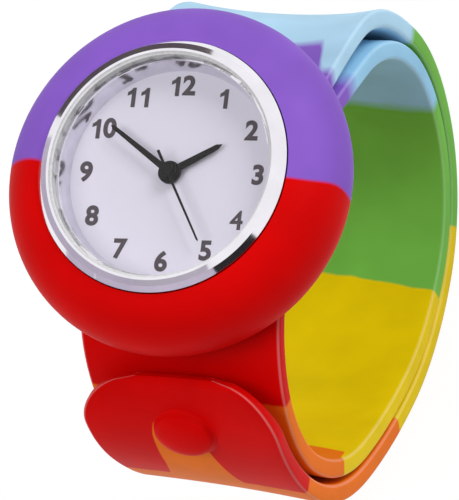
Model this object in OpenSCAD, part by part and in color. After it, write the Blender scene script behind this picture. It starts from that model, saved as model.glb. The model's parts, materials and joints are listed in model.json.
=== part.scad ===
// Child's slap-on watch: a round quartz watch in a silicone head ring, carried by a silicone
// strap whose spring-steel strip curls round the wrist in two layers.
// Frame: X to 3 o'clock, Y to 12 o'clock, Z out of the dial. The origin is the middle of the wrist space.

/* [Place] */
// Height of the dial face above the middle of the wrist space
dial_h = 35; // [33:0.5:38]

/* [Head ring] */
// Silicone round the watch, from the pocket to the ring's widest line
ring_wall = 5.3; // [5:0.1:5.6]
// Radius of the head ring's round section
ring_round = 6; // [5.9:0.05:6.2]
// Depth of the head ring's widest line below the dial face
ring_depth = 2.9; // [2.7:0.05:3.1]
// Thickness of the silicone floor under the watch
floor_t = 1.2; // [1:0.1:1.5]

/* [Strap] */
// Width of the strap
strap_w = 24; // [22:0.5:26]
// Thickness of the strap
strap_t = 2.2; // [2:0.1:2.4]
// Room between the two layers of strap, and under the head ring
layer_gap = 0.5; // [0.4:0.05:0.8]
// Where the outer layer leaves the head, from the dial's axis
leave_y = 2.5; // [2:0.1:3]
// Length of one outer link
link_l = 18; // [17.5:0.1:18.5]
// Bend of the first link
first_bend = 46; // [44:1:48]
// Turn of the first link when the strap is opened
first_open = 9; // [6:1:10]
// Gap between two links at rest
link_gap = 0.3; // [0.2:0.05:0.5]
// Corner radius of the strap's free tip
tip_corner_r = 7; // [5:0.5:8]
// Hollow of the tip across its width
tip_hollow = 1.3; // [1:0.1:1.5]
// How far in the strap's far edge lies at the foot of the curl, which is askew
foot_skew = 3.2; // [2.6:0.1:3.4]
// How far in the tip's far edge lies at its end
tip_skew = 2.2; // [1.8:0.1:2.4]
// Radius of the tip's pull stud
stud_r = 3.5; // [3:0.1:4]
// Height of the tip's pull stud
stud_h = 1.6; // [1:0.1:2]
// Thickness of the spring-steel strip
steel_t = 0.2; // [0.15:0.01:0.25]
// Silicone at each side of the spring-steel strip
steel_edge = 2.4; // [2:0.1:3]
// Room round the spring-steel strip in its slot
slot_clear = 0.15; // [0.1:0.01:0.2]

/* [Case] */
// Radius of the case under the bezel
case_r = 13.9; // [13.8:0.05:14.2]
// How far the chrome bezel stands out over the case
bezel_lip = 0.7; // [0.6:0.05:0.8]
// Thickness of the case's wall round the works
case_wall = 0.9; // [0.85:0.01:0.92]
// Height of the bezel's outer edge above the dial face
bezel_edge_z = 3.3; // [3.2:0.05:3.4]
// Height of the bezel's top above the dial face
bezel_top_z = 4.1; // [4:0.05:4.3]
// How far the clear lens lies inside the case's radius
lens_edge = 1.1; // [1.05:0.05:1.2]
// Thickness of the clear lens
lens_t = 1.2; // [1:0.05:1.3]
// Width of the ring round the dial
inner_ring_w = 0.95; // [0.8:0.05:1.1]
// Thickness of the dial
dial_t = 0.4; // [0.3:0.05:0.5]
// Clearance of pieces that slide together
fit = 0.05; // [0.03:0.01:0.06]
// Room between the bezel and the silicone
bezel_gap = 0.1; // [0.08:0.01:0.12]

/* [Hands] */
// Length of the hour hand
hour_l = 6.7; // [6:0.1:7.5]
// Length of the minute hand
minute_l = 9.1; // [8.5:0.1:9.8]
// Length of the second hand
second_l = 9.4; // [8.5:0.1:10]
// Clockwise angle of the hour hand from 12
hour_angle = 60; // [0:1:359]
// Clockwise angle of the minute hand from 12
minute_angle = 305; // [0:1:359]
// Clockwise angle of the second hand from 12
second_angle = 150; // [0:1:359]

/* [Works] */
// Radius of the works' main plate
plate_r = 11; // [10.9:0.05:11.2]
// Thickness of the main plate
plate_t = 0.55; // [0.5:0.05:0.6]
// Radius of the button cell
cell_r = 3.4; // [3.2:0.05:3.5]
// Height of the button cell
cell_h = 2.0; // [1.8:0.05:2.1]
// Radius of the crown
crown_r = 1.5; // [1.3:0.05:1.6]
// Travel of the crown when it is pulled
crown_pull = 1; // [0.8:0.1:1.2]
// Size of the teeth (module) of the hour and minute motion wheels
motion_m = 0.11; // [0.105:0.001:0.115]
// Size of the teeth (module) of the seconds and third wheels
train_m = 0.09; // [0.085:0.001:0.092]

/* [Hidden] */
$fn = 96;

// Colours of the moulding and the works
purple = "#8458c8";
red = "#d01010";
light_blue = "#a8d8f0";
green = "#68b848";
yellow = "#f0d800";
orange = "#f07818";
steel = "#b8bcc0";
chrome = "#d8d8e0";
black = "#181818";
brass = "#c8a850";

// Radii that follow from the case's
dial_r = case_r - case_wall - fit;
dial_open_r = dial_r - inner_ring_w;
lens_r = case_r - lens_edge;
bezel_r = case_r + bezel_lip;
pocket_r = bezel_r + bezel_gap;
ring_r = pocket_r + ring_wall;

// Heights below the dial face of the case and the silicone floor
back_t = 0.5;
case_bottom = -4.9;
back_bottom = case_bottom - back_t;
pocket_floor = back_bottom - fit;
floor_bottom = pocket_floor - floor_t;
strap_z = floor_bottom - strap_t / 2;

// Heights of the lens and the ring under it
lens_sink = 0.1;
lens_bevel = [0.25, 0.2];
ring_slope = 0.4;
lens_top = bezel_top_z - lens_sink;
lens_bottom = lens_top - lens_t;
ledge_t = 0.3;
ring_top = lens_bottom - ledge_t;
gasket_t = 0.3;
seat_r = lens_r + gasket_t;

// Bezel: height of its rim, the slope under it, the flat by the lens and the crown's middle point
bezel_rim_h = 0.8;
bezel_under_h = 0.7;
bezel_flat_w = 0.3;
bezel_mid = [(bezel_r + seat_r) / 2 + 0.2, bezel_top_z - 0.15];
ledge_r = dial_open_r + ring_slope + fit;

// Heights of the works, counted down from the dial face
train_gap = 0.05;
hour_z = -dial_t - 0.55;
minute_z = hour_z - 0.3;
plate_top = minute_z - 0.1;
plate_bottom = plate_top - plate_t;
centre_z = plate_bottom - 0.3;
third_z = centre_z - 0.3;
seconds_z = third_z - 0.4;
inter_z = seconds_z - 0.3;
bridge_top = inter_z - 0.25;
bridge_t = 0.4;
wheel_t = 0.2;

// Tooth counts: 30 to 1, 60 to 1 and 12 to 1 in pairs of wheel and pinion
rotor_n = 8;
inter_n = 40;
inter_pinion_n = 10;
seconds_n = 60;
seconds_pinion_n = 8;
third_n = 64;
third_pinion_n = 8;
centre_n = 60;
cannon_n = 12;
minute_n = 36;
minute_pinion_n = 10;
hour_n = 40;

// Centre distances and modules that follow from them
third_d = train_m * (seconds_pinion_n + third_n) / 2;
centre_m = 2 * third_d / (third_pinion_n + centre_n);
minute_d = motion_m * (cannon_n + minute_n) / 2;
hour_m = 2 * minute_d / (minute_pinion_n + hour_n);
seconds_m = 0.1;
inter_d = seconds_m * (inter_pinion_n + seconds_n) / 2;
rotor_d = train_m * (rotor_n + inter_n) / 2;

// Places of the arbors round the dial's axis
third_angle = -40;
minute_at = 250;
inter_angle = 110;
rotor_turn = 60;
third_p = third_d * [cos(third_angle), sin(third_angle)];
minute_p = minute_d * [cos(minute_at), sin(minute_at)];
inter_p = inter_d * [cos(inter_angle), sin(inter_angle)];
rotor_p = inter_p + rotor_d * [cos(rotor_turn), sin(rotor_turn)];

// Arbors and tubes, one inside the next
pivot_r = 0.18;
seconds_r = 0.25;
cannon_r = 0.5;
hour_tube_r = 0.8;
tube_room = 0.1;

// Heights of the hands and their hubs
hub_h = 0.4;
hand_t = 0.15;
hour_hand_z = 0.5;
minute_hand_z = hour_hand_z + hub_h + 0.1;
second_hand_z = minute_hand_z + hub_h + 0.1;

// Button cell, coil and screws
cell_p = [-5, -4.8];
cell_top = plate_bottom - fit;
coil_y = 8.3;
coil_l = 7.4;
coil_r = 1.05;
coil_z = plate_bottom - 1.3;
coil_bore_r = 0.5;
core_r = coil_bore_r - 0.02;
core_half_w = 0.8;
stator_reach = 5.2;
pillar_r = 0.75;
plate_rim = 0.8;
screw_r = 0.4;
screw_head_r = 0.7;
screw_head_t = 0.3;
pillars = [[5.8, 3.4], [-2.2, 5.8], [3.4, -5.9]];
bridge_p = [1.2, 0.6];
bridge_r = 7.8;
screw_l = bridge_t + 0.9;
screw_clear = 0.05;
pivot_clear = 0.03;
bearing_l = 0.25;
pivot_end = 0.2;
cell_room = 0.3;
cell_step = [0.5, 0.3];
clamp_t = 0.15;
clamp_w = 2.4;
clamp_leg = 0.6;
clamp_angle = -75;

// Stator, rotor, board and quartz can
stator_t = 0.4;
stator_z = plate_bottom - fit - stator_t;
stator_half_w = 0.9;
stator_arm = 1;
arm_x = [-stator_reach, stator_reach - stator_arm];
stator_hole_r = 1.2;
stator_eye = 0.6;
stator_clear = 0.12;
magnet_r = 1;
board_from = 146;
board_sweep = 42;
board_in = 6.4;
board_out = plate_r - 0.4;
board_t = 0.3;
quartz_r = 0.7;
quartz_l = 4.2;
quartz_at = 8.4;

// Holder, gasket and case back
holder_bottom = case_bottom + 0.8;
gasket_in = dial_r + 0.2;
gasket_out = gasket_in + 0.4;
gasket_h = 0.35;
spigot_t = 0.6;
back_lip = 0.1;
notch_w = 4;

// Hands: width at the root and the tip, tail and hub radius; the second hand's hub is closed by a cap
hour_shape = [0.95, 0.6, 0, 1.3];
minute_shape = [0.8, 0.45, 0, 1];
second_shape = [0.32, 0.2, 2.6, 0.75];
cap_t = 0.12;

// Stem and crown
stem_z = -2.45;
stem_r = 0.45;
stem_in = plate_r - 4.6;
crown_in = case_r - 0.55;
crown_out = bezel_r - 0.1;
lever_x = plate_r - 2.8;
groove_w = 0.4;
groove_r = 0.28;
lever_half_w = 1.1;
lever_under = 0.5;
lever_h = 2 * stem_r + 0.4;
crown_room = 0.3;
crown_clear = 0.15;
crown_ribs = 24;
crown_round = 0.2;

// Outer layer of strap: each link's length, bend in degrees, and hollow and skew at its end
first_link_l = link_l * 19 / 36;
tip_l = link_l * 10 / 9;
tip_bend = 51;
outer_links = [
    [first_link_l, first_bend, 0.8, 0], [link_l, 3, 2, 0], [link_l, 41, 0, 0], [link_l, 45, 0, 0],
    [link_l, 55, 0, 0], [link_l, 29, 0, 0], [link_l, 13, 0, foot_skew / 2],
    [link_l, 35, 0.3, foot_skew], [tip_l, tip_bend, tip_hollow, tip_skew]];
outer_colours = [purple, light_blue, light_blue, green, green, yellow, yellow, orange, red];
outer_end = len(outer_links) - 1;
first_back_r = first_link_l * 180 / (first_bend * PI) + strap_t / 2;

// Inner layer: a flat stretch and two bends under the head, which end one layer inside the outer links,
// and then those links again from the other end
layer_step = strap_t + layer_gap;
lead_bend = 63;
tip_start = knot(outer_links, outer_end);
last_bend = 360 - tip_start[2] - lead_bend;
lead_to = [layer_step * sin(tip_start[2]) - tip_start[0], tip_start[1] + layer_step * cos(tip_start[2])];
lead_step = arc_step(1, lead_bend, 0);
last_step = arc_step(first_link_l, last_bend, lead_bend);
lead_l = (lead_to[1] - last_step[1]) / lead_step[1];
flat_l = lead_to[0] - last_step[0] - lead_l * lead_step[0];
lead_skew = foot_skew * 7 / 8;
inner_lead = [[flat_l, 0, 0, 0], [lead_l, lead_bend, 0, lead_skew],
    [first_link_l, last_bend, 0, foot_skew]];
inner_follow = [for (k = [outer_end - 1:-1:2]) let (l = outer_links[k])
    [l[0] - layer_step * l[1] * PI / 180, l[1], 0, outer_links[k - 1][3]]];
inner_tail = [link_l * 13 / 18, 3, 0, 0];
inner_runs = concat(inner_lead, inner_follow, [inner_tail]);

// A run along the strap: where a stretch starts, as [along, down, heading]
function arc_step(l, t, h) =
    t == 0 ? l * [cos(h), sin(h)]
           : l * 180 / (t * PI) * [sin(h + t) - sin(h), cos(h) - cos(h + t)];
function knot(runs, i) =
    i == 0 ? [0, 0, 0]
           : let (k = knot(runs, i - 1), r = runs[i - 1], d = arc_step(r[0], r[1], k[2]))
             [k[0] + d[0], k[1] + d[1], k[2] + r[1]];
function eased(runs, i, f, c) =
    let (a = i == 0 ? 0 : runs[i - 1][c], s = f * f * (3 - 2 * f)) a + (runs[i][c] - a) * s;

// A place on the strap, as [along, down, heading, hollow, skew], at the share f of stretch i
function place(runs, i, f) =
    let (k = knot(runs, i), r = runs[i], d = arc_step(r[0] * f, r[1] * f, k[2]))
    [k[0] + d[0], k[1] + d[1], k[2] + r[1] * f, eased(runs, i, f, 2), eased(runs, i, f, 3)];

// A section across the strap, as [x, height], half as wide as b and half as thick as e
across = [-1, -0.5, 0, 0.5, 1];
function section(b, e) = concat(
    [for (a = across) [a * (b - e), e]],
    [[b - 0.3 * e, 0.7 * e], [b, 0], [b - 0.3 * e, -0.7 * e]],
    [for (a = across) [-a * (b - e), -e]],
    [[0.3 * e - b, -0.7 * e], [-b, 0], [0.3 * e - b, 0.7 * e]]);

// The section's points in order from edge to edge, and the point across the thickness from each
rib_order = [14, 15, 0, 1, 2, 3, 4, 5, 6];
function opposite(i) = (28 - i) % 16;

// The section set at a place; side is 1 towards 12 o'clock and -1 towards 6 o'clock
function set_section(points, p, side) = [for (q = points)
    let (x = 2 * q[0] / strap_w, n = q[1] + p[3] * x * x - p[4] * (1 - x) / 2)
    [q[0], leave_y + side * (p[0] + n * sin(p[2])), dial_h + strap_z - p[1] + n * cos(p[2])]];

// A solid through rings of points, with a slot along it where slots has rings too
module skin(rings, slots, side) {
    n = len(rings[0]);
    m = len(rings);
    last = (m - 1) * n;
    open = len(slots) > 0;
    base = m * n;
    sides = [for (i = [0:m - 2], j = [0:n - 1]) let (a = i * n + j, b = i * n + (j + 1) % n)
        each [[a, a + n, b + n], [a, b + n, b]]];
    inside = [for (f = open ? sides : []) [base + f[2], base + f[1], base + f[0]]];
    ends = open
        ? [for (j = [0:n - 1]) let (k = (j + 1) % n)
            each [[j, k, base + k], [j, base + k, base + j],
                  [last + k, last + j, base + last + j], [last + k, base + last + j, base + last + k]]]
        : [for (j = [0:len(rib_order) - 2])
            let (a = rib_order[j], b = rib_order[j + 1], c = opposite(a), d = opposite(b))
            each concat(b == d ? [] : [[a, b, d], [last + d, last + b, last + a]],
                        a == c ? [] : [[a, d, c], [last + c, last + d, last + a]])];
    faces = concat(sides, inside, ends);
    flat = [for (r = concat(rings, slots)) each r];
    polyhedron(flat, side > 0 ? faces : [for (f = faces) [for (j = [len(f) - 1:-1:0]) f[j]]]);
}

half_w = strap_w / 2;
stud_share = 0.65;
slot_half_w = half_w - steel_edge + slot_clear;
slot_half_t = steel_t / 2 + slot_clear;
steel_half_w = half_w - steel_edge;
link_steps = 5;
inner_steps = 4;

function link_places(k) =
    let (g = link_gap / 2 / outer_links[k][0])
    [for (s = [0:link_steps]) place(outer_links, k, g + (1 - 2 * g) * s / link_steps)];
function inner_places(g) = concat(
    [place(inner_runs, 0, g)],
    [for (i = [0:len(inner_runs) - 1], s = [1:inner_steps])
        if (i > 0 || s == inner_steps) place(inner_runs, i, s / inner_steps)]);

module band(places, side) {
    skin([for (p = places) set_section(section(half_w, strap_t / 2), p, side)],
         [for (p = places) set_section(section(slot_half_w, slot_half_t), p, side)], side);
}
module steel_strip(places, side) {
    skin([for (p = places) set_section(section(steel_half_w, steel_t / 2), p, side)], [], side);
}

// The strap's free tip: full width, then round corners
module tip() {
    l = outer_links[outer_end][0];
    g = link_gap / 2;
    straight = [for (s = [0:4]) [g + (l - tip_corner_r - g) * s / 4, half_w]];
    corner = [for (a = [22.5:22.5:90])
        [l - tip_corner_r * (1 - sin(a)), half_w - tip_corner_r * (1 - cos(a))]];
    stations = concat(straight, corner);
    skin([for (s = stations) let (p = place(outer_links, outer_end, s[0] / l))
             set_section(section(s[1], strap_t / 2), p, 1)], [], 1);
}
module stud() {
    p = place(outer_links, outer_end, stud_share);
    cap_r = (stud_r * stud_r + stud_h * stud_h) / (2 * stud_h);
    rise = strap_t / 2;
    translate([0, leave_y + p[0], dial_h + strap_z - p[1]])
        rotate([-p[2], 0, 0])
            translate([0, 0, -p[4] / 2]) rotate([0, -atan(p[4] / strap_w), 0])
            translate([0, 0, rise + stud_h - cap_r])
                intersection() {
                    sphere(cap_r);
                    translate([0, 0, cap_r - stud_h - rise])
                        cylinder(r = stud_r, h = stud_h + rise + 1);
                }
}

// Small helpers for the watch
module at(z) { translate([0, 0, dial_h + z]) children(); }
module ring(ro, ri, z0, z1) {
    at(z0) difference() {
        cylinder(r = ro, h = z1 - z0);
        translate([0, 0, -1]) cylinder(r = ri, h = z1 - z0 + 2);
    }
}
module disc(r, z0, z1) { at(z0) cylinder(r = r, h = z1 - z0); }
module drill(p, r, z0, z1) { translate([p[0], p[1], dial_h + z0]) cylinder(r = r, h = z1 - z0); }

// A toothed outline with a tooth at angle phase
tooth_up = 0.9;
tooth_down = 1.1;
tooth_share = 0.4;
tooth_root = 1.6;
tooth_tip = 0.45;
module teeth(n, m, phase) {
    pitch = 360 / n;
    half = pitch * tooth_share / 2;
    r = n * m / 2;
    polygon([for (i = [0:n - 1]) let (a = phase + i * pitch) each [
        (r - tooth_down * m) * [cos(a - tooth_root * half), sin(a - tooth_root * half)],
        (r + tooth_up * m) * [cos(a - tooth_tip * half), sin(a - tooth_tip * half)],
        (r + tooth_up * m) * [cos(a + tooth_tip * half), sin(a + tooth_tip * half)],
        (r - tooth_down * m) * [cos(a + tooth_root * half), sin(a + tooth_root * half)]]]);
}
module wheel(n, m, z, t, phase = 0) { at(z) linear_extrude(t) teeth(n, m, phase); }
// Phase that sets a gap of this wheel against a tooth of its driver, along the line of centres
function gap_phase(n, line) = line + 180 + 180 / n;

module head_ring() {
    color(purple) difference() {
        at(0) rotate_extrude() difference() {
            union() {
                translate([ring_r - ring_round, -ring_depth]) circle(ring_round);
                translate([0, floor_bottom]) square([ring_r - ring_round, floor_t]);
            }
            translate([0, pocket_floor]) square([pocket_r, ring_round * 3]);
            translate([-1, floor_bottom - 3 * ring_round]) square([2 * ring_r, 3 * ring_round]);
            translate([-2 * ring_round, floor_bottom - 1]) square([2 * ring_round, 4 * ring_round]);
        }
        // Room for the crown to be pulled
        translate([case_r, 0, dial_h + stem_z]) rotate([0, 90, 0])
            cylinder(r = crown_r + crown_room, h = crown_out + crown_pull + crown_room - case_r);
        // Hollow under the floor, where the first link's back lies when the strap is open
        translate([-ring_r, leave_y + first_back_r * sin(first_open),
                   dial_h + floor_bottom - first_back_r * cos(first_open)])
            rotate([0, 90, 0]) cylinder(r = first_back_r + layer_gap, h = 2 * ring_r);
    }
}

module inner_band() { color(red) band(inner_places(link_gap / 2 / inner_lead[0][0]), -1); }
module inner_steel() { color(steel) steel_strip(inner_places(link_gap / 2 / inner_lead[0][0]), -1); }
module outer_band(k) {
    color(outer_colours[k])
        if (k < outer_end) band(link_places(k), 1);
        else union() { tip(); stud(); }
}
module outer_steel(k) { color(steel) steel_strip(link_places(k), 1); }

module case() {
    color(chrome) difference() {
        at(0) rotate_extrude() polygon([
            [dial_r + fit, case_bottom], [case_r, case_bottom],
            [case_r, bezel_edge_z - bezel_rim_h - bezel_under_h],
            [bezel_r, bezel_edge_z - bezel_rim_h], [bezel_r, bezel_edge_z], bezel_mid,
            [seat_r + bezel_flat_w, bezel_top_z], [seat_r, bezel_top_z], [seat_r, lens_bottom],
            [ledge_r, lens_bottom], [ledge_r, ring_top], [dial_r + fit, ring_top]]);
        translate([dial_r - 1, 0, dial_h + stem_z]) rotate([0, 90, 0])
            cylinder(r = stem_r + fit, h = case_r - dial_r + 2);
        translate([crown_in - fit, 0, dial_h + stem_z]) rotate([0, 90, 0])
            cylinder(r = crown_r + crown_clear, h = case_r - crown_in + 1);
        ring(gasket_out, gasket_in, case_bottom - 1, case_bottom + gasket_h);
    }
}

module lens() {
    color("#e8f0f8", 0.4) at(0) rotate_extrude() polygon([
        [0, lens_bottom], [lens_r, lens_bottom], [lens_r, lens_top - lens_bevel[1]],
        [lens_r - lens_bevel[0], lens_top], [0, lens_top]]);
}
module lens_gasket() { color("#e0e0e0") ring(seat_r, lens_r, lens_bottom, lens_top - lens_bevel[1]); }
module inner_ring() {
    color(chrome) at(0) rotate_extrude() polygon([
        [dial_open_r, 0], [dial_r, 0], [dial_r, ring_top], [dial_open_r + ring_slope, ring_top]]);
}
module dial() {
    color("#e6e2ee") difference() {
        disc(dial_r, -dial_t, 0);
        disc(hour_tube_r + tube_room, -dial_t - 1, 1);
    }
}

// A stick hand with its hub, pointing to 12 before it is turned
module hand(l, shape, bore_r, z, angle, cap = 0) {
    half_root = shape[0] / 2;
    half_tip = shape[1] / 2;
    shoulder = l - shape[1];
    color(black) at(z) rotate([0, 0, -angle]) difference() {
        union() {
            cylinder(r = shape[3], h = hub_h);
            translate([0, 0, hub_h / 2 - hand_t / 2]) linear_extrude(hand_t) polygon([
                [-half_root, -shape[2]], [half_root, -shape[2]], [half_tip, shoulder], [0, l],
                [-half_tip, shoulder]]);
        }
        translate([0, 0, -1]) cylinder(r = bore_r, h = hub_h + (cap > 0 ? 1 - cap : 2));
    }
}
module hour_hand() { hand(hour_l, hour_shape, hour_tube_r, hour_hand_z, hour_angle); }
module minute_hand() { hand(minute_l, minute_shape, cannon_r, minute_hand_z, minute_angle); }
module second_hand() { hand(second_l, second_shape, seconds_r, second_hand_z, second_angle, cap_t); }

module movement_holder() {
    color("white") difference() {
        ring(dial_r, plate_r + fit, holder_bottom, -dial_t);
        translate([plate_r - 1, -stem_r - fit, dial_h + holder_bottom - 1])
            cube([dial_r - plate_r + 2, 2 * (stem_r + fit), stem_z + stem_r + fit - holder_bottom + 1]);
    }
}

module main_plate() {
    color(brass) difference() {
        union() {
            disc(plate_r, plate_bottom, plate_top);
            ring(plate_r, plate_r - plate_rim, plate_bottom, -dial_t - fit);
            for (p = pillars) drill(p, pillar_r, bridge_top, plate_bottom + plate_t / 2);
        }
        disc(cannon_r + fit, plate_bottom - 1, plate_top + 1);
        for (p = [third_p, inter_p, rotor_p])
            drill(p, pivot_r + pivot_clear, plate_bottom - 1, plate_top - pivot_end + fit);
        drill(minute_p, pivot_r + pivot_clear, plate_bottom + pivot_end - fit, plate_top + 1);
        for (p = pillars) drill(p, screw_r + screw_clear, bridge_top - 1, plate_bottom);
    }
}
module train_bridge() {
    color(steel) difference() {
        at(bridge_top - bridge_t) translate(bridge_p)
            cylinder(r = bridge_r, h = bridge_t);
        drill(cell_p, cell_r + cell_room, bridge_top - bridge_t - 1, bridge_top + 1);
        disc(pivot_r + pivot_clear, bridge_top - bearing_l, bridge_top + 1);
        for (p = [third_p, inter_p, rotor_p])
            drill(p, pivot_r + pivot_clear, bridge_top - bearing_l, bridge_top + 1);
        for (p = pillars) drill(p, screw_r + screw_clear, bridge_top - bridge_t - 1, bridge_top + 1);
        translate([-plate_r, coil_y - coil_r - cell_room, dial_h + bridge_top - bridge_t - 1])
            cube([2 * plate_r, plate_r, bridge_t + 2]);
    }
}
module bridge_screws() {
    color(steel) for (p = pillars) {
        drill(p, screw_head_r, bridge_top - bridge_t - screw_head_t, bridge_top - bridge_t);
        drill(p, screw_r, bridge_top - bridge_t, bridge_top - bridge_t + screw_l);
    }
}

module coil() {
    color("#b06030") translate([-coil_l / 2, coil_y, dial_h + coil_z]) rotate([0, 90, 0]) difference() {
        cylinder(r = coil_r, h = coil_l);
        translate([0, 0, -1]) cylinder(r = coil_bore_r, h = coil_l + 2);
    }
}
module coil_core() {
    color(steel) union() {
        translate([-stator_reach, coil_y, dial_h + coil_z]) rotate([0, 90, 0])
            cylinder(r = core_r, h = 2 * stator_reach);
        for (x = arm_x) translate([x, coil_y - core_half_w, dial_h + coil_z - core_r])
            cube([stator_arm, 2 * core_half_w, stator_z - coil_z + core_r]);
    }
}
module stator() {
    color(steel) difference() {
        union() {
            translate([-stator_reach, rotor_p[1] - stator_half_w, dial_h + stator_z])
                cube([2 * stator_reach, 2 * stator_half_w, stator_t]);
            for (x = arm_x) translate([x, rotor_p[1] - stator_half_w, dial_h + stator_z])
                cube([stator_arm, coil_y + core_half_w + stator_half_w - rotor_p[1], stator_t]);
            drill(rotor_p, stator_hole_r + stator_eye, stator_z, stator_z + stator_t);
        }
        drill(rotor_p, stator_hole_r, stator_z - 1, stator_z + 2);
        for (p = pillars) drill(p, pillar_r + stator_clear, stator_z - 1, stator_z + 2);
        drill(inter_p, pivot_r + stator_clear, stator_z - 1, stator_z + 2);
    }
}
module rotor() {
    color("#404048") union() {
        drill(rotor_p, magnet_r, stator_z, stator_z + stator_t - fit);
        drill(rotor_p, pivot_r, bridge_top - pivot_end, plate_top - pivot_end);
        translate([rotor_p[0], rotor_p[1], 0])
            wheel(rotor_n, train_m, inter_z - train_gap, wheel_t + 2 * train_gap, rotor_turn + 180);
    }
}
module intermediate_wheel() {
    color("white") translate([inter_p[0], inter_p[1], 0]) union() {
        wheel(inter_n, train_m, inter_z, wheel_t, gap_phase(inter_n, rotor_turn + 180));
        wheel(inter_pinion_n, seconds_m, inter_z + wheel_t, seconds_z - inter_z + train_gap,
              inter_angle + 180);
        disc(pivot_r, bridge_top - pivot_end, plate_top - pivot_end);
    }
}
module seconds_wheel() {
    color(brass) union() {
        wheel(seconds_n, seconds_m, seconds_z, wheel_t, gap_phase(seconds_n, inter_angle + 180));
        wheel(seconds_pinion_n, train_m, seconds_z + wheel_t, third_z - seconds_z + train_gap, third_angle);
        disc(pivot_r, bridge_top - pivot_end, seconds_z);
        disc(seconds_r, seconds_z, second_hand_z + hub_h - cap_t);
    }
}
module third_wheel() {
    color(brass) translate([third_p[0], third_p[1], 0]) union() {
        wheel(third_n, train_m, third_z, wheel_t, gap_phase(third_n, third_angle));
        wheel(third_pinion_n, centre_m, third_z + wheel_t, centre_z - third_z + train_gap,
              third_angle + 180);
        disc(pivot_r, bridge_top - pivot_end, plate_top - pivot_end);
    }
}
module centre_wheel() {
    color(brass) difference() {
        union() {
            wheel(centre_n, centre_m, centre_z, wheel_t, gap_phase(centre_n, third_angle + 180));
            disc(cannon_r, centre_z, minute_hand_z + hub_h);
            wheel(cannon_n, motion_m, minute_z - train_gap, wheel_t + 2 * train_gap, minute_at);
        }
        disc(seconds_r + fit, centre_z - 1, minute_hand_z + hub_h + 1);
    }
}
module minute_wheel() {
    color("white") translate([minute_p[0], minute_p[1], 0]) union() {
        wheel(minute_n, motion_m, minute_z, wheel_t, gap_phase(minute_n, minute_at));
        wheel(minute_pinion_n, hour_m, minute_z + wheel_t, hour_z - minute_z, minute_at + 180);
        disc(pivot_r, plate_bottom + pivot_end, minute_z);
    }
}
module hour_wheel() {
    color("white") difference() {
        union() {
            wheel(hour_n, hour_m, hour_z, wheel_t, gap_phase(hour_n, minute_at + 180));
            disc(hour_tube_r, hour_z, hour_hand_z + hub_h);
        }
        disc(cannon_r + fit, hour_z - 1, hour_hand_z + hub_h + 1);
    }
}

module circuit_board() {
    color("#206838") at(plate_bottom - fit - board_t)
        rotate_extrude(angle = board_sweep, start = board_from)
            translate([board_in, 0]) square([board_out - board_in, board_t]);
}
module quartz_can() {
    z = plate_bottom - fit - board_t - quartz_r;
    color(chrome) rotate([0, 0, board_from + board_sweep / 2])
        translate([quartz_at, quartz_l / 2, dial_h + z])
            rotate([90, 0, 0]) cylinder(r = quartz_r, h = quartz_l);
}
module button_cell() {
    color(chrome) translate([cell_p[0], cell_p[1], dial_h + cell_top - cell_h]) union() {
        cylinder(r = cell_r, h = cell_h - cell_step[1]);
        cylinder(r = cell_r - cell_step[0], h = cell_h);
    }
}
module cell_clamp() {
    z = cell_top - cell_h - clamp_t;
    color(brass) translate([cell_p[0], cell_p[1], dial_h + z]) rotate([0, 0, clamp_angle]) union() {
        translate([-cell_r, -clamp_w / 2, 0])
            cube([2 * cell_r + cell_room + clamp_leg, clamp_w, clamp_t]);
        translate([cell_r + cell_room, -clamp_w / 2, 0]) cube([clamp_leg, clamp_w, cell_h + clamp_t]);
    }
}

module setting_lever() {
    color(steel) difference() {
        translate([lever_x - groove_w / 2 + fit, -lever_half_w, dial_h + stem_z - stem_r - lever_under])
            cube([groove_w - 2 * fit, 2 * lever_half_w, lever_h]);
        translate([lever_x - 1, 0, dial_h + stem_z]) rotate([0, 90, 0])
            cylinder(r = groove_r + fit, h = 2);
        translate([lever_x - 1, -groove_r - fit, dial_h + stem_z]) cube([2, 2 * (groove_r + fit), 2]);
    }
}
module stem() {
    color(steel) difference() {
        translate([stem_in, 0, dial_h + stem_z]) rotate([0, 90, 0])
            cylinder(r = stem_r, h = crown_in - stem_in);
        translate([lever_x - groove_w / 2, 0, dial_h + stem_z]) rotate([0, 90, 0]) difference() {
            cylinder(r = stem_r + 1, h = groove_w);
            translate([0, 0, -1]) cylinder(r = groove_r, h = groove_w + 2);
        }
    }
}
module crown() {
    color(chrome) translate([crown_in, 0, dial_h + stem_z]) rotate([0, 90, 0]) union() {
        linear_extrude(crown_out - crown_in - crown_round)
            teeth(crown_ribs, 2 * crown_r / (crown_ribs + 2), 0);
        cylinder(r = crown_r - crown_round, h = crown_out - crown_in);
    }
}

module back_gasket() {
    color(black) ring(gasket_out - fit, gasket_in + fit, case_bottom, case_bottom + gasket_h - fit);
}
module case_back() {
    color(steel) difference() {
        union() {
            disc(gasket_out + back_lip, back_bottom, case_bottom);
            ring(dial_r - fit, dial_r - fit - spigot_t, back_bottom + back_t / 2, holder_bottom - fit);
        }
        // Case knife notch
        translate([-notch_w / 2, -gasket_out - 1, dial_h + back_bottom - 1])
            cube([notch_w, 1 + gasket_h, 1 + back_t / 2]);
    }
}

head_ring();
inner_band();
inner_steel();
for (k = [0:outer_end]) outer_band(k);
for (k = [0:outer_end - 1]) outer_steel(k);
case();
lens();
lens_gasket();
inner_ring();
dial();
hour_hand();
minute_hand();
second_hand();
movement_holder();
main_plate();
train_bridge();
bridge_screws();
coil();
coil_core();
stator();
rotor();
intermediate_wheel();
seconds_wheel();
third_wheel();
centre_wheel();
minute_wheel();
hour_wheel();
circuit_board();
quartz_can();
button_cell();
cell_clamp();
setting_lever();
stem();
crown();
back_gasket();
case_back();
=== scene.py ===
import json
import math

import bmesh
import bpy
from mathutils import Matrix, Vector
from mathutils.kdtree import KDTree


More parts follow.
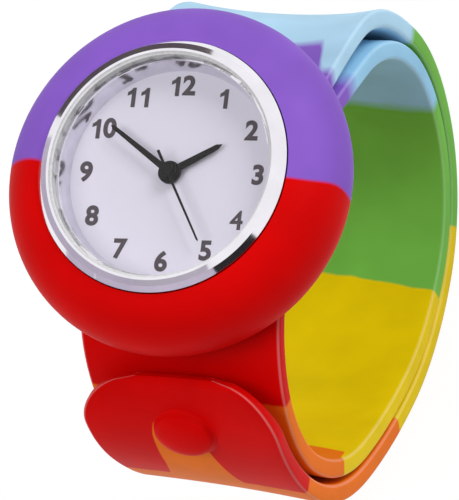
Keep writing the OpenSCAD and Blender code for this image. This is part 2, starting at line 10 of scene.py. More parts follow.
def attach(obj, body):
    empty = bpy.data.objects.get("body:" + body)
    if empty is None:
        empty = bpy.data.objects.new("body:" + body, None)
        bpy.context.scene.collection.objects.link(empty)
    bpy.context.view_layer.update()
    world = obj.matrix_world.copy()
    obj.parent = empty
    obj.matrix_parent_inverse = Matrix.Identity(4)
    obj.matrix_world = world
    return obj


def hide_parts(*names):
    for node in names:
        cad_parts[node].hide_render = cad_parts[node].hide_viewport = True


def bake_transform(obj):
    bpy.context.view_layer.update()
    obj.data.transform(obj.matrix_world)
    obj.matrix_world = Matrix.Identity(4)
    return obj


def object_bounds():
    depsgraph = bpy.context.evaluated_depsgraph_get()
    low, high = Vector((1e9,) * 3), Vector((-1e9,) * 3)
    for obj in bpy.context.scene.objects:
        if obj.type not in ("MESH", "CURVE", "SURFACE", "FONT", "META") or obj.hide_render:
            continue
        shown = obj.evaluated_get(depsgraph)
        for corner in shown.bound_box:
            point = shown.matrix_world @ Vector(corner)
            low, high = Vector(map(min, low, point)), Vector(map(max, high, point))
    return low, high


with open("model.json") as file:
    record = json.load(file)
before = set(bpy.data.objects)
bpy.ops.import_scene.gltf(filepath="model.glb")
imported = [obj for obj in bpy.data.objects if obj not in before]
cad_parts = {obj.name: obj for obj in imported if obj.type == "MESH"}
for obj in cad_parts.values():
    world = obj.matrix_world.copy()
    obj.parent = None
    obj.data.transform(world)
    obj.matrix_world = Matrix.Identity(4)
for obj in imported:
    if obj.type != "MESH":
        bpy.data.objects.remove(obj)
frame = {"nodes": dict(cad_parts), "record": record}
cad_low, cad_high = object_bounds()
MM = 0.001

# The head and strap in mm, as in the CAD part except where a comment says otherwise
DIAL_Z = 35
LEAVE_Y = 2.5
STRAP_DROP = 7.75
STRAP_Z = DIAL_Z - STRAP_DROP
HALF_W = 12
HALF_T = 1.1
FIRST_L = 9.5
LINK_L = 18
TIP_L = 20
TAIL_L = 13
TAIL_BEND = 3
LINK_GAP = 0.3
LAYER_STEP = 2.7
LEAD_BEND = 63
FOOT_SKEW = 3.2
LEAD_SKEW = FOOT_SKEW * 7 / 8
TIP_SKEW = 2.2
TIP_CORNER = 7
# The edges are crisper than the CAD part's
EDGE_R = 0.5
# The tip thins out from its inner face over this length, by this share of that half; the CAD part's doesn't
THIN_L = 8
THIN_SHARE = 0.8
# Pull stud: a little shorter along the strap than across and nearer the head than the CAD part's
STUD_R = 3.5
STUD_H = 1.6
STUD_SHARE = 0.65
STUD_SHORT = 0.86
STUD_BACK = 0.4

# Each stretch of strap: length, bend in degrees, and hollow across the width and skew at its end. The first
# two are a little less hollow than the CAD part's, and the second leans, with its far edge further out
OUTER = [(FIRST_L, 46, 0.7, 0), (LINK_L, 3, 1.85, -0.9), (LINK_L, 41, 0, 0), (LINK_L, 45, 0, 0),
         (LINK_L, 55, 0, 0), (LINK_L, 29, 0, 0), (LINK_L, 13, 0, FOOT_SKEW / 2), (LINK_L, 35, 0.3, FOOT_SKEW),
         (TIP_L, 51, 1.3, TIP_SKEW)]


def arc_step(length, bend, heading):
    """How far along and down a stretch leads, from its length, and its bend and first heading in degrees."""
    a, b = math.radians(heading), math.radians(heading + bend)
    if bend == 0:
        return length * math.cos(a), length * math.sin(a)
    r = length / math.radians(bend)
    return r * (math.sin(b) - math.sin(a)), r * (math.cos(a) - math.cos(b))


def inner_runs():
    """The inner layer's stretches. A flat and two arcs lead it to one step inside the tip's start, from where
    it follows the outer layer back, and a tail ends it."""
    tip_u = tip_v = tip_heading = 0
    for length, bend, _, _ in OUTER[:-1]:
        along, down = arc_step(length, bend, tip_heading)
        tip_u, tip_v, tip_heading = tip_u + along, tip_v + down, tip_heading + bend
    last_bend = 360 - tip_heading - LEAD_BEND
    to_u = LAYER_STEP * math.sin(math.radians(tip_heading)) - tip_u
    to_v = LAYER_STEP * math.cos(math.radians(tip_heading)) + tip_v
    lead_u, lead_v = arc_step(1, LEAD_BEND, 0)
    last_u, last_v = arc_step(FIRST_L, last_bend, LEAD_BEND)
    lead_l = (to_v - last_v) / lead_v
    flat_l = to_u - last_u - lead_l * lead_u
    lead = [(flat_l, 0, 0, 0), (lead_l, LEAD_BEND, 0, LEAD_SKEW), (FIRST_L, last_bend, 0, FOOT_SKEW)]
    follow = [(OUTER[k][0] - LAYER_STEP * math.radians(OUTER[k][1]), OUTER[k][1], 0, OUTER[k - 1][3])
              for k in range(len(OUTER) - 2, 1, -1)]
    return lead + follow + [(TAIL_L, TAIL_BEND, 0, 0)]


INNER = inner_runs()


def linear(hex_colour):
    """An sRGB hex colour as linear RGBA."""
    parts = [int(hex_colour[i:i + 2], 16) / 255 for i in (1, 3, 5)]
    return [c / 12.92 if c <= 0.04045 else ((c + 0.055) / 1.055) ** 2.4 for c in parts] + [1]


def add(tree, kind, inputs=(), **settings):
    """A shader node with its settings, and its sockets set to a value or joined to another node's output."""
    made = tree.nodes.new("ShaderNode" + kind)
    for key, value in settings.items():
        setattr(made, key, value)
    for socket, value in dict(inputs).items():
        if isinstance(value, bpy.types.NodeSocket):
            tree.links.new(value, made.inputs[socket])
        else:
            made.inputs[socket].default_value = value
    return made


def material(name, colour, roughness, metallic=0, specular=0.5):
    """A plain material, and its tree and surface node for what is added to it."""
    made = bpy.data.materials.new(name)
    made.use_nodes = True
    tree = made.node_tree
    surface = tree.nodes["Principled BSDF"]
    surface.inputs["Base Color"].default_value = linear(colour)
    surface.inputs["Roughness"].default_value = roughness
    surface.inputs["Metallic"].default_value = metallic
    surface.inputs["Specular IOR Level"].default_value = specular
    return made, tree, surface


# Most values of a noise pattern lie in this span
NOISE_SPAN = {"From Min": 0.3, "From Max": 0.7}


def grained(name, colour, roughness, metallic, size, stretch=(1, 1, 1), depth=0.12, uneven=0.1, specular=0.5):
    """A finish with grain of a size in mm, drawn out by stretch. It darkens the colour by up to depth,
    lightens it by a third of that, and varies the roughness by uneven."""
    made, tree, surface = material(name, colour, roughness, metallic, specular)
    spot = add(tree, "TexCoord")
    grain = add(tree, "VectorMath", {0: spot.outputs["Object"], 1: stretch}, operation="MULTIPLY")
    noise = add(tree, "TexNoise", {"Vector": grain.outputs[0], "Scale": 1 / (size * MM), "Detail": 3})
    shade = add(tree, "MapRange", {"Value": noise.outputs[0], **NOISE_SPAN,
                                   "To Min": 1 - depth, "To Max": 1 + depth / 3})
    tint = add(tree, "VectorMath", {0: linear(colour)[:3], 3: shade.outputs[0]}, operation="SCALE")
    tree.links.new(tint.outputs[0], surface.inputs["Base Color"])
    dull = add(tree, "MapRange", {"Value": noise.outputs[0], **NOISE_SPAN,
                                  "To Min": roughness - uneven / 2, "To Max": roughness + uneven / 2})
    tree.links.new(dull.outputs[0], surface.inputs["Roughness"])
    return made


PURPLE, RED, BLUE = "#885CC6", "#D60202", "#B2DAF2"
GREEN, YELLOW, ORANGE = "#72BA48", "#EACB00", "#EE7414"
DEEP_BLUE = "#98CCEC"
# Roughness of the satin face, and how much it mirrors
SATIN = 0.5
SILICONE_GLOSS = 0.05
# Grain of the mould's matt face, in mm: about 0.1 on the real strap, drawn coarser so that it shows
MOULD_GRAIN = 0.3
GRAIN_DEPTH = 0.02
GRAIN_STRENGTH = 0.15
# Patches where one colour of stock is a little darker or lighter, from how it was mixed, and their size in mm
MOTTLE = 7
MOTTLE_DARK, MOTTLE_LIGHT = 0.92, 1.04
# How far a border between two colours wanders, and the length of its waves, in mm
WANDER = 0.9
WANDER_L = 4
# Painted highlight, with a little pale wear: white in the corners of the edges, and the share of the way into
# a corner where it starts and is full
EDGE_HIGHLIGHT_AND_WEAR = 0.12
EDGE_HIGHLIGHT_FROM, EDGE_HIGHLIGHT_FULL = 0.3, 0.6


def satin(tree, surface, colour):
    """Silicone from a matt mould: mottled colour, and a fine grain that breaks up the gloss."""
    spot = add(tree, "TexCoord").outputs["Object"]
    patch = add(tree, "TexNoise", {"Vector": spot, "Scale": 1 / (MOTTLE * MM), "Detail": 2})
    shade = add(tree, "MapRange", {"Value": patch.outputs[0], **NOISE_SPAN,
                                   "To Min": MOTTLE_DARK, "To Max": MOTTLE_LIGHT})
    mixed = add(tree, "VectorMath", {0: colour, 3: shade.outputs[0]}, operation="SCALE")
    tree.links.new(mixed.outputs[0], surface.inputs["Base Color"])
    grain = add(tree, "TexNoise", {"Vector": spot, "Scale": 1 / (MOULD_GRAIN * MM), "Detail": 1})
    relief = add(tree, "Bump", {"Height": grain.outputs[0], "Strength": GRAIN_STRENGTH,
                                "Distance": GRAIN_DEPTH * MM})
    tree.links.new(relief.outputs[0], surface.inputs["Normal"])


def silicone(name, first, blocks):
    """Satin silicone, moulded from blocks of coloured stock that ran together a little at their borders.
    Blocks are (where the colour starts along the strap in mm, slope of its border across the strap, softness
    of the border, its tongues, colour), and a tongue is (place across, half width, reach along), in mm."""
    made, tree, surface = material(name, first, SATIN, specular=SILICONE_GLOSS)
    uv = add(tree, "UVMap", uv_map="along")
    along, across = add(tree, "SeparateXYZ", {0: uv.outputs[0]}).outputs[:2]
    wave = add(tree, "TexNoise", {"Vector": uv.outputs[0], "Scale": 1 / WANDER_L, "Detail": 2})
    wander = add(tree, "Math", {0: wave.outputs[0], 1: WANDER, 2: along}, operation="MULTIPLY_ADD")
    start_from = add(tree, "Math", {0: wander.outputs[0], 1: WANDER / 2}, operation="SUBTRACT")
    colour = linear(first)
    for start, slope, soft, tongues, block in blocks:
        line = add(tree, "Math", {0: across, 1: slope, 2: start}, operation="MULTIPLY_ADD").outputs[0]
        for middle, half, reach in tongues:
            off = add(tree, "Math", {0: across, 1: middle}, operation="SUBTRACT")
            side = add(tree, "Math", {0: off.outputs[0]}, operation="ABSOLUTE")
            bulge = add(tree, "MapRange", {"Value": side.outputs[0], "From Min": half, "From Max": half / 2,
                                           "To Min": 0, "To Max": reach}, interpolation_type="SMOOTHSTEP")
            line = add(tree, "Math", {0: line, 1: bulge.outputs[0]}).outputs[0]
        past = add(tree, "Math", {0: start_from.outputs[0], 1: line}, operation="SUBTRACT")
        edge = add(tree, "MapRange", {"Value": past.outputs[0], "From Min": -soft, "From Max": soft})
        colour = add(tree, "MixRGB", {0: edge.outputs[0], 1: colour, 2: linear(block)}).outputs[0]
    # Painted highlight on the corners of the edges, where their shine falls, with a little pale wear there
    rim = add(tree, "Attribute", attribute_name="rim")
    edge_highlight = add(tree, "MapRange", {"Value": rim.outputs["Fac"], "From Min": EDGE_HIGHLIGHT_FROM, "From Max": EDGE_HIGHLIGHT_FULL,
                                 "To Max": EDGE_HIGHLIGHT_AND_WEAR})
    with_edge_highlight = add(tree, "MixRGB", {0: edge_highlight.outputs[0], 1: colour, 2: (1, 1, 1, 1)})
    satin(tree, surface, with_edge_highlight.outputs[0])
    return made


def as_object(name, bm, *materials):
    """An object at the origin from a bmesh, which it frees."""
    mesh = bpy.data.meshes.new(name)
    bm.to_mesh(mesh)
    bm.free()
    made = bpy.data.objects.new(name, mesh)
    bpy.context.collection.objects.link(made)
    for m in materials:
        mesh.materials.append(m)
    return made


def eased(before, after, share):
    """A value between two, level at both."""
    return before + (after - before) * share * share * (3 - 2 * share)


def place(runs, side, s):
    """The point s mm along the strap's middle line, and its outward direction, hollow and skew there."""
    u = v = heading = hollow = skew = 0.0
    for i, (length, bend, far_hollow, far_skew) in enumerate(runs):
        last = i == len(runs) - 1
        share = s / length if s < length or last else 1
        along, down = arc_step(length * share, bend * share, heading)
        u, v = u + along, v + down
        if share < 1 or last:
            b = math.radians(heading + bend * share)
            at = Vector((0, LEAVE_Y + side * u, STRAP_Z - v))
            out = Vector((0, side * math.sin(b), math.cos(b)))
            return at, out, eased(hollow, far_hollow, share), eased(skew, far_skew, share)
        s, heading, hollow, skew = s - length, heading + bend, far_hollow, far_skew


def lift(x, hollow, skew):
    """How far out of its flat section a point of the strap lies, at x across."""
    return hollow * (x / HALF_W) ** 2 - skew * (1 - x / HALF_W) / 2


# Steps across half of the strap's face, and the angles of the points round each corner
FACE_STEPS = 6
CORNER_TURN = [math.radians(a) for a in (18, 36, 54, 72, 90)]
# Distance between the rings of the strap's mesh, in mm, and how finely its length is marked to find a point's
RING_STEP = 0.4
MARKS = 2000
# Points nearer to each other than this are one, in mm
WELD = 0.0005


def section():
    """The strap's outline across, as (x, height), with rounded edges."""
    x, n = HALF_W - EDGE_R, HALF_T - EDGE_R
    flat = [(x * (i / FACE_STEPS - 1), HALF_T) for i in range(2 * FACE_STEPS + 1)]
    upper = [(x + EDGE_R * math.sin(a), n + EDGE_R * math.cos(a)) for a in CORNER_TURN]
    lower = [(p, -q) for p, q in reversed(upper)]
    half = flat + upper + lower
    return half + [(-p, -q) for p, q in half]


def swept(runs, side, start, end):
    """A closed shell: the strap's outline, spun round each bend or drawn along where it is straight."""
    bm = bmesh.new()
    at, out, _, _ = place(runs, side, start)
    ring = [bm.verts.new((x, at.y + n * out.y, at.z + n * out.z)) for x, n in section()]
    edges = [bm.edges.new((ring[i], ring[i - 1])) for i in range(len(ring))]
    total = 0
    for length, bend, _, _ in runs:
        a, b = max(start, total), min(end, total + length)
        total += length
        if b - a < WELD:
            continue
        at, out, _, _ = place(runs, side, a)
        steps = max(2, round((b - a) / RING_STEP))
        if bend:
            made = bmesh.ops.spin(
                bm, geom=list({v for e in edges for v in e.verts}) + edges, axis=(1, 0, 0), steps=steps,
                cent=at - out * (length / math.radians(bend)),
                angle=-side * math.radians(bend) * (b - a) / length)
            edges = [g for g in made["geom_last"] if isinstance(g, bmesh.types.BMEdge)]
        else:
            for _ in range(steps):
                made = bmesh.ops.extrude_edge_only(bm, edges=edges)["geom"]
                new = {g for g in made if isinstance(g, bmesh.types.BMVert)}
                edges = [g for g in made if isinstance(g, bmesh.types.BMEdge) and new.issuperset(g.verts)]
                bmesh.ops.translate(bm, vec=(place(runs, side, b)[0] - at) / steps, verts=list(new))
    bmesh.ops.remove_doubles(bm, verts=bm.verts, dist=WELD)
    for f in bm.faces:
        f.smooth = True
    for f in bmesh.ops.holes_fill(bm, edges=[e for e in bm.edges if e.is_boundary], sides=0)["faces"]:
        for e in f.edges:
            e.smooth = False
    bmesh.ops.recalc_face_normals(bm, faces=bm.faces)
    return bm


def strap(name, runs, side, start, end, tip=0):
    """A stretch of strap, hollowed and skewed, with distances along and across it in a UV map and the corners
    of its edges marked for the painted highlight and wear. Where tip is set, that is the radius of its far
    corners, and its end is rounded."""
    bm = swept(runs, side, start, end)
    marks = [start + (end - start) * i / MARKS for i in range(MARKS + 1)]
    near = KDTree(len(marks))
    for i, s in enumerate(marks):
        near.insert(place(runs, side, s)[0], i)
    near.balance()
    along = {}
    rim = bm.verts.layers.float.new("rim")
    for v in bm.verts:
        x = v.co.x
        s = marks[near.find((0, v.co.y, v.co.z))[1]]
        to_end = end - s
        at, out, hollow, skew = place(runs, side, s)
        height = (v.co - at).dot(out)
        to_corner = max(HALF_W - abs(x), HALF_T - abs(height))
        if tip > EDGE_R and height < 0 and to_end < THIN_L:
            v.co -= out * height * eased(THIN_SHARE, 0, to_end / THIN_L)
        if tip and to_end < tip:
            late = tip - to_end
            x *= (HALF_W - tip + math.sqrt(max(tip * tip - late * late, 0))) / HALF_W
        if tip and to_end < EDGE_R:
            inset = EDGE_R - math.sqrt(EDGE_R ** 2 - (EDGE_R - to_end) ** 2)
            x *= 1 - inset / HALF_W
            v.co -= out * (v.co - at).dot(out) * inset / HALF_T
        v.co.x = x
        v.co += out * lift(x, hollow, skew)
        # How near a point lies to the corner of an edge, for the painted edge highlight and wear
        v[rim] = max(0, 1 - to_corner / EDGE_R)
        along[v] = s
    uv = bm.loops.layers.uv.new("along")
    for f in bm.faces:
        for loop in f.loops:
            loop[uv].uv = (along[loop.vert], loop.vert.co.x)
    bmesh.ops.scale(bm, vec=(MM, MM, MM), verts=bm.verts)
    return as_object(name, bm)


outer_silicone = silicone("silicone, outer layer", PURPLE, [
    (15.9, 0, 0.9, [(5.4, 5.4, 7.6)], BLUE), (45.3, -0.08, 0.8, [], GREEN), (75, 0, 0.2, [], YELLOW),
    (105.5, 0.04, 0.2, [], ORANGE), (136.3, 0.15, 0.2, [(-1, 5, 9.4), (-3.7, 1.1, 4)], RED)])
stud_silicone = silicone("silicone, pull stud", RED, [])
inner_silicone = silicone("silicone, inner layer", RED, [
    (26, 0.04, 0.2, [], ORANGE), (54.3, -0.25, 0.2, [(12.5, 1.7, -3.2)], YELLOW),
    (88.2, -0.165, 0.2, [], GREEN), (112.6, -0.12, 0.8, [], DEEP_BLUE), (143.4, 0, 1.8, [], PURPLE)])

# The outer layer: one piece from the middle of each link to the middle of the next
STRAP_START = LINK_GAP / 2
starts = [sum(run[0] for run in OUTER[:k]) for k in range(len(OUTER))]
outer_l = sum(run[0] for run in OUTER)
cuts = [STRAP_START] + [s + run[0] / 2 for s, run in zip(starts, OUTER)] + [outer_l]
SLOTS = ["purple", "blue", "blue", "green", "green", "yellow", "yellow", "orange", "red", "red"]
for k, slot in enumerate(SLOTS):
    tip = TIP_CORNER if k == len(OUTER) else 0
    piece = strap(f"strap_outer_{k}", OUTER, 1, cuts[k], cuts[k + 1], tip)
    piece.data.materials.append(outer_silicone)
    if k == 0:
        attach(piece, "link_1")
    elif k == len(OUTER):
        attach(piece, "link_9")
    else:
        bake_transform(piece)
    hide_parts(f"outer_band_{min(k + 1, len(OUTER))}")

# The pull stud: a low dome with a soft foot, spun round the tip's outward direction. The dome springs from a
# share of the stud's height and is drawn at these angles from its top, in radians. The foot's points are (out
# from the stud's radius, height), in mm
DOME_FROM = 0.4
DOME_TURN = (0, 0.3, 0.6, 0.9, 1.2, 1.45)
FOOT = [(0.05, 0.25), (0.25, 0.02), (0.8, -0.3)]
STUD_STEPS = 48
bm = bmesh.new()
stud_s = starts[-1] + STUD_SHARE * TIP_L
stud_at, stud_out, stud_hollow, stud_skew = place(OUTER, 1, stud_s)
dome = [(STUD_R * math.sin(a), STUD_H * (DOME_FROM + (1 - DOME_FROM) * math.cos(a))) for a in DOME_TURN]
foot = [(STUD_R + out, height) for out, height in FOOT]
line = [bm.verts.new((r, 0, h + HALF_T)) for r, h in dome + foot]
chain = [bm.edges.new((line[i], line[i + 1])) for i in range(len(line) - 1)]
bmesh.ops.spin(bm, geom=line + chain, cent=(0, 0, 0), axis=(0, 0, 1), angle=2 * math.pi, steps=STUD_STEPS,
               use_merge=True)
bmesh.ops.remove_doubles(bm, verts=bm.verts, dist=WELD)
bmesh.ops.recalc_face_normals(bm, faces=bm.faces)
bmesh.ops.scale(bm, vec=(1, STUD_SHORT, 1), verts=bm.verts)
bmesh.ops.translate(bm, vec=(0, -STUD_BACK, 0), verts=bm.verts)
uv = bm.loops.layers.uv.new("along")
for f in bm.faces:
    f.smooth = True
    for loop in f.loops:
        loop[uv].uv = (stud_s + loop.vert.co.y, loop.vert.co.x)
for v in bm.verts:
    v.co.z += lift(v.co.x, stud_hollow, stud_skew)
turn = Vector((0, 0, 1)).rotation_difference(stud_out).to_matrix().to_4x4()
bmesh.ops.transform(bm, matrix=Matrix.Scale(MM, 4) @ Matrix.Translation(stud_at) @ turn, verts=bm.verts)
stud = as_object("pull_stud", bm, stud_silicone)
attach(stud, "link_9")

# The inner layer is one piece with the head ring
inner = strap("strap_inner", INNER, -1, STRAP_START, sum(run[0] for run in INNER), EDGE_R)
inner.data.materials.append(inner_silicone)
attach(inner, "band")
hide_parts("inner_band")

# Head ring: the upper half is purple stock and the lower half red, joined in the mould on a wandering line.
# Its place up the dial, its softness, its waves and how far it wanders are in mm
SEAM_Y = -0.2
SEAM_SOFT = 0.2
SEAM_SLOPE = 0.04
SEAM_WAVE = 12
SEAM_WANDER = 4
ring_silicone, tree, surface = material("silicone, head ring", PURPLE, SATIN, specular=SILICONE_GLOSS)
spot = add(tree, "TexCoord").outputs["Object"]
east, north, _ = add(tree, "SeparateXYZ", {0: spot}).outputs
wave = add(tree, "TexNoise", {"Vector": spot, "Scale": 1 / (SEAM_WAVE * MM), "Detail": 1})
slant = add(tree, "Math", {0: east, 1: SEAM_SLOPE, 2: north}, operation="MULTIPLY_ADD")
wander = add(tree, "Math", {0: wave.outputs[0], 1: SEAM_WANDER * MM, 2: slant.outputs[0]},
             operation="MULTIPLY_ADD")
seam = SEAM_Y + SEAM_WANDER / 2
edge = add(tree, "MapRange", {"Value": wander.outputs[0], "From Min": (seam - SEAM_SOFT) * MM,
                              "From Max": (seam + SEAM_SOFT) * MM})
halves = add(tree, "MixRGB", {0: edge.outputs[0], 1: linear(RED), 2: linear(PURPLE)})
satin(tree, surface, halves.outputs[0])

# Chrome plating over a turned and polished case: a mirror with faint polishing haze
chrome = grained("chrome plating", "#F0EEF4", roughness=0.07, metallic=1, size=3, depth=0.06, uneven=0.05)
# The ring under the lens is plated too, over a rougher moulding that blurs what it mirrors
ring_chrome = grained("chrome plating on a moulded ring", "#E4E2EA", roughness=0.16, metallic=1, size=1.2,
                      depth=0.1, uneven=0.1)
# Cold-rolled and nickelled steel: drawn-out rolling lines along one way
steel = grained("brushed steel", "#B0B4B8", roughness=0.34, metallic=1, size=0.5, stretch=(0.05, 1, 1),
                depth=0.2, uneven=0.16)
# Brass, turned and stamped: fine lines and a soft shine
brass = grained("turned brass", "#C8A850", roughness=0.26, metallic=1, size=0.6, stretch=(1, 0.1, 1),
                depth=0.15, uneven=0.12)
# Enamelled copper wire, wound round the coil's X axis; the real turns are 0.03 mm, drawn coarser
copper = grained("enamelled copper wire", "#B06030", roughness=0.3, metallic=1, size=0.12,
                 stretch=(1, 0.02, 0.02), depth=0.5)
# Acetal from a fine mould, slightly milky
white = grained("moulded acetal", "#F0F0F0", roughness=0.5, metallic=0, size=1.5, depth=0.05)
# Gasket rubber from a plain mould: dull and a little uneven
rubber = grained("gasket rubber", "#D8D8D8", roughness=0.7, metallic=0, size=0.4, depth=0.12)
# Fibreglass board under a green coat, with the weave just showing
board = grained("coated circuit board", "#206838", roughness=0.3, metallic=0, size=0.4, depth=0.3)
# Magnet pressed and sintered from powder: dark and speckled
magnet = grained("sintered magnet", "#404048", roughness=0.42, metallic=0, size=0.2, depth=0.3)
# Dial: pale lilac lacquer sprayed on a thin plate, then printed
dial_paint = grained("dial lacquer", "#DCD8E6", roughness=0.55, metallic=0, size=0.25, depth=0.025)
ink = grained("dial printing ink", "#463D44", roughness=0.6, metallic=0, size=0.3, depth=0.08)
# Hands: stamped brass with black lacquer
lacquer = grained("black hand lacquer", "#0E0C0C", roughness=0.35, metallic=0, size=0.5, depth=0.2,
                  specular=0.12)

# Clear mineral glass: almost all light passes, and a little is reflected, more so at a low angle. EDGE says
# how early that grows and MIRROR how strong it gets
LENS_ROUGHNESS = 0.02
LENS_EDGE = 0.2
LENS_MIRROR = 0.4
glass, tree, _ = material("clear lens", "#FFFFFF", LENS_ROUGHNESS)
clear = add(tree, "BsdfTransparent")
shine = add(tree, "BsdfGlossy", {"Roughness": LENS_ROUGHNESS})
edge_on = add(tree, "LayerWeight", {"Blend": LENS_EDGE})
mirrored = add(tree, "Math", {0: edge_on.outputs["Facing"], 1: LENS_MIRROR}, operation="MULTIPLY")
mixed = add(tree, "MixShader", {0: mirrored.outputs[0], 1: clear.outputs[0], 2: shine.outputs[0]})
tree.links.new(mixed.outputs[0], tree.nodes["Material Output"].inputs["Surface"])

by_slot = {"silicone_purple": ring_silicone, "spring_steel": steel, "chrome_plate": chrome,
           "lens_glass": glass, "gasket": rubber, "dial_print": dial_paint, "hand_black": lacquer,
           "white_plastic": white, "brass": brass, "works_steel": steel, "copper_wire": copper,
           "circuit_board": board, "magnet": magnet}
for part in frame["record"]["subparts"]:
    if part["material_slot"] in by_slot:
        mesh = frame["nodes"][part["node"]].data
        mesh.materials.clear()
        mesh.materials.append(by_slot[part["material_slot"]])
frame["nodes"]["inner_ring"].data.materials[0] = ring_chrome

# Plain dial numbers, printed upright and bold, in mm. The figure 1 is drawn here, because it has a flag
NUMBER_SIZE = 3.05
NUMBER_BOLD = 0.12
NUMBER_R = 10.2
NUMBER_LIFT = 0.02
FIGURE_STEP = 1.62
# Height of the print, as a share of its boldness
PRINT_FLAT = 0.15
# The 4 is printed a little off its place, to the left and down
SHIFT = {4: (-0.5, -0.2)}
ONE = [(0.12, -1.02), (0.38, -1.02), (0.38, 1.02), (0.18, 1.02), (-0.05, 0.74), (-0.38, 0.54), (-0.38, 0.36),
       (-0.1, 0.48), (0.12, 0.66)]


def figure(digit):
    """One printed figure, about the origin. A 4 is less bold, which keeps its middle open."""
    if digit == "1":
        curve = bpy.data.curves.new("figure", "CURVE")
        curve.dimensions = "2D"
        curve.fill_mode = "BOTH"
        outline = curve.splines.new("POLY")
        outline.points.add(len(ONE) - 1)
        for corner, (x, y) in zip(outline.points, ONE):
            corner.co = (x, y, 0, 1)
        outline.use_cyclic_u = True
    else:
        curve = bpy.data.curves.new("figure", "FONT")
        curve.body = digit
        curve.size = NUMBER_SIZE
        curve.align_x = "CENTER"
        curve.align_y = "CENTER"
    curve.bevel_depth = NUMBER_BOLD / 2 if digit == "4" else NUMBER_BOLD
    drawn = bpy.data.objects.new("figure", curve)
    bpy.context.collection.objects.link(drawn)
    bpy.context.view_layer.update()
    mesh = bpy.data.meshes.new_from_object(drawn.evaluated_get(bpy.context.evaluated_depsgraph_get()))
    bpy.data.objects.remove(drawn)
    return mesh


for hour in range(1, 13):
    bm = bmesh.new()
    digits = str(hour)
    angle = math.radians(30 * hour)
    off_x, off_y = SHIFT.get(hour, (0, 0))
    for i, digit in enumerate(digits):
        mesh = figure(digit)
        x = NUMBER_R * math.sin(angle) + FIGURE_STEP * (i - (len(digits) - 1) / 2) + off_x
        y = NUMBER_R * math.cos(angle) + off_y
        mesh.transform(Matrix.Scale(MM, 4) @ Matrix.Translation((x, y, DIAL_Z + NUMBER_LIFT))
                       @ Matrix.Diagonal((1, 1, PRINT_FLAT, 1)))
        bm.from_mesh(mesh)
    number = as_object(f"dial_number_{hour}", bm, ink)
    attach(number, "watch")


def shown(tree):
    """1 for a ray from the camera or from a reflection, and 0 for the rest; and the light path node."""
    rays = add(tree, "LightPath")
    seen = add(tree, "Math", {0: rays.outputs["Is Camera Ray"], 1: rays.outputs["Is Glossy Ray"]},
               operation="MAXIMUM")
    return seen.outputs[0], rays


# Paper floor, shown nearly white to the camera and in reflections, with a soft shadow: a share of what they
# see is a plain glow. Sizes are in metres
FLOOR_HALF = 2
FLOOR_GAP = 0.0005
FLOOR_GLOW = 1.03
FLOOR_GLOW_SHARE = 0.92
PAPER_ROUGHNESS = 0.9
floor_paper, tree, surface = material("white paper floor", "#F2F2F2", PAPER_ROUGHNESS)
share = add(tree, "Math", {0: shown(tree)[0], 1: FLOOR_GLOW_SHARE}, operation="MULTIPLY")
glow = add(tree, "Emission", {"Color": (1, 1, 1, 1), "Strength": FLOOR_GLOW})
mixed = add(tree, "MixShader", {0: share.outputs[0], 1: surface.outputs[0], 2: glow.outputs[0]})
tree.links.new(mixed.outputs[0], tree.nodes["Material Output"].inputs["Surface"])
bm = bmesh.new()
bmesh.ops.create_grid(bm, size=FLOOR_HALF)
bmesh.ops.translate(bm, vec=(0, 0, cad_low.z - FLOOR_GAP), verts=bm.verts)
floor = as_object("floor", bm, floor_paper)

# White surroundings for the camera and for reflections, softer light for the rest
AMBIENT = 0.43
world = bpy.data.worlds.new("studio")
bpy.context.scene.world = world
world.use_nodes = True
tree = world.node_tree
seen, rays = shown(tree)
through = add(tree, "Math", {0: seen, 1: rays.outputs["Is Transmission Ray"]}, operation="MAXIMUM")
power = add(tree, "MapRange", {"Value": through.outputs[0], "To Min": AMBIENT, "To Max": 1})
ground = tree.nodes["Background"]
ground.inputs[0].default_value = (1, 1, 1, 1)
tree.links.new(power.outputs[0], ground.inputs[1])

# Lamps: places and sizes in metres
LAMP_AIM = Vector((0, 0, 0.02))


def softbox(name, where, size, watts, mirrored):
    """A square lamp that points at the watch, and that the chrome mirrors or doesn't."""
    lamp = bpy.data.lights.new(name, "AREA")
    lamp.size = size
    lamp.energy = watts
    made = bpy.data.objects.new(name, lamp)
    made.location = where
    made.rotation_euler = (LAMP_AIM - Vector(where)).to_track_quat("-Z", "Y").to_euler()
    made.visible_glossy = mirrored
    bpy.context.collection.objects.link(made)


softbox("key softbox", where=(0.36, 0.40, 0.42), size=0.3, watts=2.2, mirrored=True)
softbox("fill softbox", where=(-0.22, -0.15, 0.60), size=0.35, watts=1.6, mirrored=False)


def corners_round(reach, first, last, low, high):
    """Corners of a card that faces the dial from reach metres away, between two angles round from +X and two
    up from level, in degrees."""
    corners = []
    for around, up in ((first, low), (first, high), (last, high), (last, low)):
        out = reach * math.cos(math.radians(up))
        rise = reach * math.sin(math.radians(up))
        corners.append((out * math.cos(math.radians(around)), out * math.sin(math.radians(around)),
                        DIAL_Z * MM + rise))
    return corners


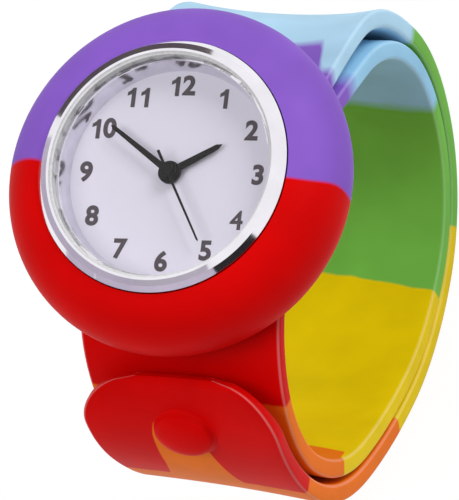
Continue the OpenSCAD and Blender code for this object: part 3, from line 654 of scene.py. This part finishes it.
# Cards out of sight, for the chrome to mirror: colour, and corners in metres
CARDS = {
    "black card by the camera": (
        "#181416", [(0.42, -0.26, 0.10), (0.42, -0.26, 0.25), (0.20, -0.48, 0.25), (0.20, -0.48, 0.10)]),
    "grey card in front": (
        "#D4CADC", [(0.20, -0.44, -0.02), (0.20, -0.44, 0.20), (-0.36, -0.30, 0.14), (-0.36, -0.30, -0.02)]),
    "grey card at the left": (
        "#D4CADC", [(-0.24, -0.20, -0.02), (-0.24, -0.20, 0.06), (-0.28, 0.02, 0.02), (-0.28, 0.02, -0.02)]),
    "grey card overhead": (
        "#DCD4E0", [(-0.32, -0.22, 0.5), (-0.05, -0.22, 0.5), (-0.05, 0.03, 0.5), (-0.32, 0.03, 0.5)]),
    "lilac card at the left": ("#CCC2D4", corners_round(0.45, first=155, last=215, low=35, high=62)),
    "dark card behind": ("#5C5357", corners_round(0.5, first=108, last=150, low=30, high=52)),
}
for name, (colour, corners) in CARDS.items():
    bm = bmesh.new()
    bm.faces.new([bm.verts.new(corner) for corner in corners])
    card = as_object(name, bm, material(name, colour, PAPER_ROUGHNESS)[0])
    card.visible_camera = False
    card.visible_diffuse = False
    card.visible_shadow = False

# Camera: a long lens, placed by the bezel's ellipse and the dial's numbers in the photograph. Angles are in
# degrees: round from +X, up from level, and roll. The middle of the bezel lies at AIM_PX in the picture, and
# BEZEL_PX is the bezel's half width there. Names in PX and the photograph's size are in pixels, lengths in mm
VIEW_ROUND, VIEW_UP, VIEW_ROLL = -36.290, 64.530, -49.489
PHOTO_W, PHOTO_H = 459, 500
AIM_PX = (161.7, 165.6)
AIM_Z = DIAL_Z + 3.3
BEZEL_R, BEZEL_PX = 14.6, 132
DISTANCE = 800
SENSOR = 36
# How far the camera sees, in metres
SIGHT = 20
swing = Matrix.Rotation(math.radians(VIEW_ROUND + 90), 3, "Z")
tilt = Matrix.Rotation(math.radians(90 - VIEW_UP), 3, "X")
roll = Matrix.Rotation(math.radians(VIEW_ROLL), 3, "Z")
turn = swing @ tilt @ roll
focal = BEZEL_PX / BEZEL_R * DISTANCE
aim_x, aim_y = AIM_PX[0] - PHOTO_W / 2, PHOTO_H / 2 - AIM_PX[1]
eye = Vector((0, 0, AIM_Z)) - turn @ Vector((aim_x / focal, aim_y / focal, -1)) * DISTANCE
camera = bpy.data.cameras.new("camera")
camera.sensor_fit = "HORIZONTAL"
camera.sensor_width = SENSOR
camera.lens = SENSOR * focal / PHOTO_W
camera.clip_end = SIGHT
seat = bpy.data.objects.new("camera", camera)
seat.matrix_world = Matrix.Translation(eye * MM) @ turn.to_4x4()
bpy.context.collection.objects.link(seat)
bpy.context.scene.camera = seat
bpy.context.scene.view_settings.view_transform = "Standard"
